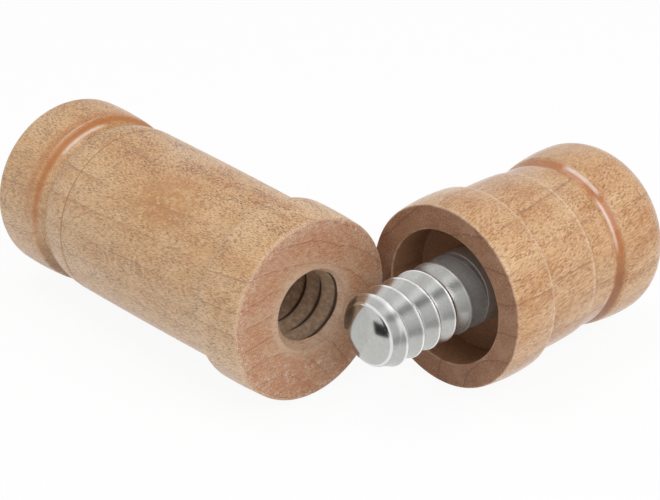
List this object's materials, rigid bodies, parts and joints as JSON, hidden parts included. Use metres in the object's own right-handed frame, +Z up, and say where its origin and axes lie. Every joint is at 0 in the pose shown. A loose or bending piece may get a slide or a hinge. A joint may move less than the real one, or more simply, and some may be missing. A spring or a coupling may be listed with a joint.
{
  "type": "nutcracker",
  "caption": "Turned wooden screw nutcracker, unscrewed: a barrel with a nut chamber and tapped bore, and a cap handle with a coarse domed steel screw.",
  "frame": {"origin": "middle of the layout's bounding box, on the table that both pieces lie on", "axes": "+Z up; +X along the barrel's axis, from its far end to its bored face; the handle's axis lies 87 degrees from it, and its screw points towards -Y"},
  "size_m": [0.1526, 0.1216, 0.0517],
  "materials": {
    "barrel_wood": "lacquered honey maple",
    "handle_wood": "lacquered honey maple",
    "screw_steel": "polished steel",
    "collar_steel": "turned steel"
  },
  "bodies": {
    "barrel": {"barrel": "barrel_wood"},
    "thrust_collar": {"collar": "collar_steel"},
    "handle_and_screw": {"handle": "handle_wood", "screw": "screw_steel"}
  },
  "joints": [
    {"name": "screw_travel", "type": "slide", "parent": "barrel", "child": "thrust_collar", "axis": [-0.0523, 0.9986, 0], "range_m": [0, 0.0266]},
    {"name": "screw_turn", "type": "hinge", "parent": "thrust_collar", "child": "handle_and_screw", "pos_m": [0.05083, -0.00553, 0.02587], "axis": [-0.0523, 0.9986, 0], "range_deg": [0, 1620]}
  ],
  "couplings": [
    {"joint": "screw_travel", "follows": "screw_turn", "m_per_rad": 0.00093901}
  ]
}
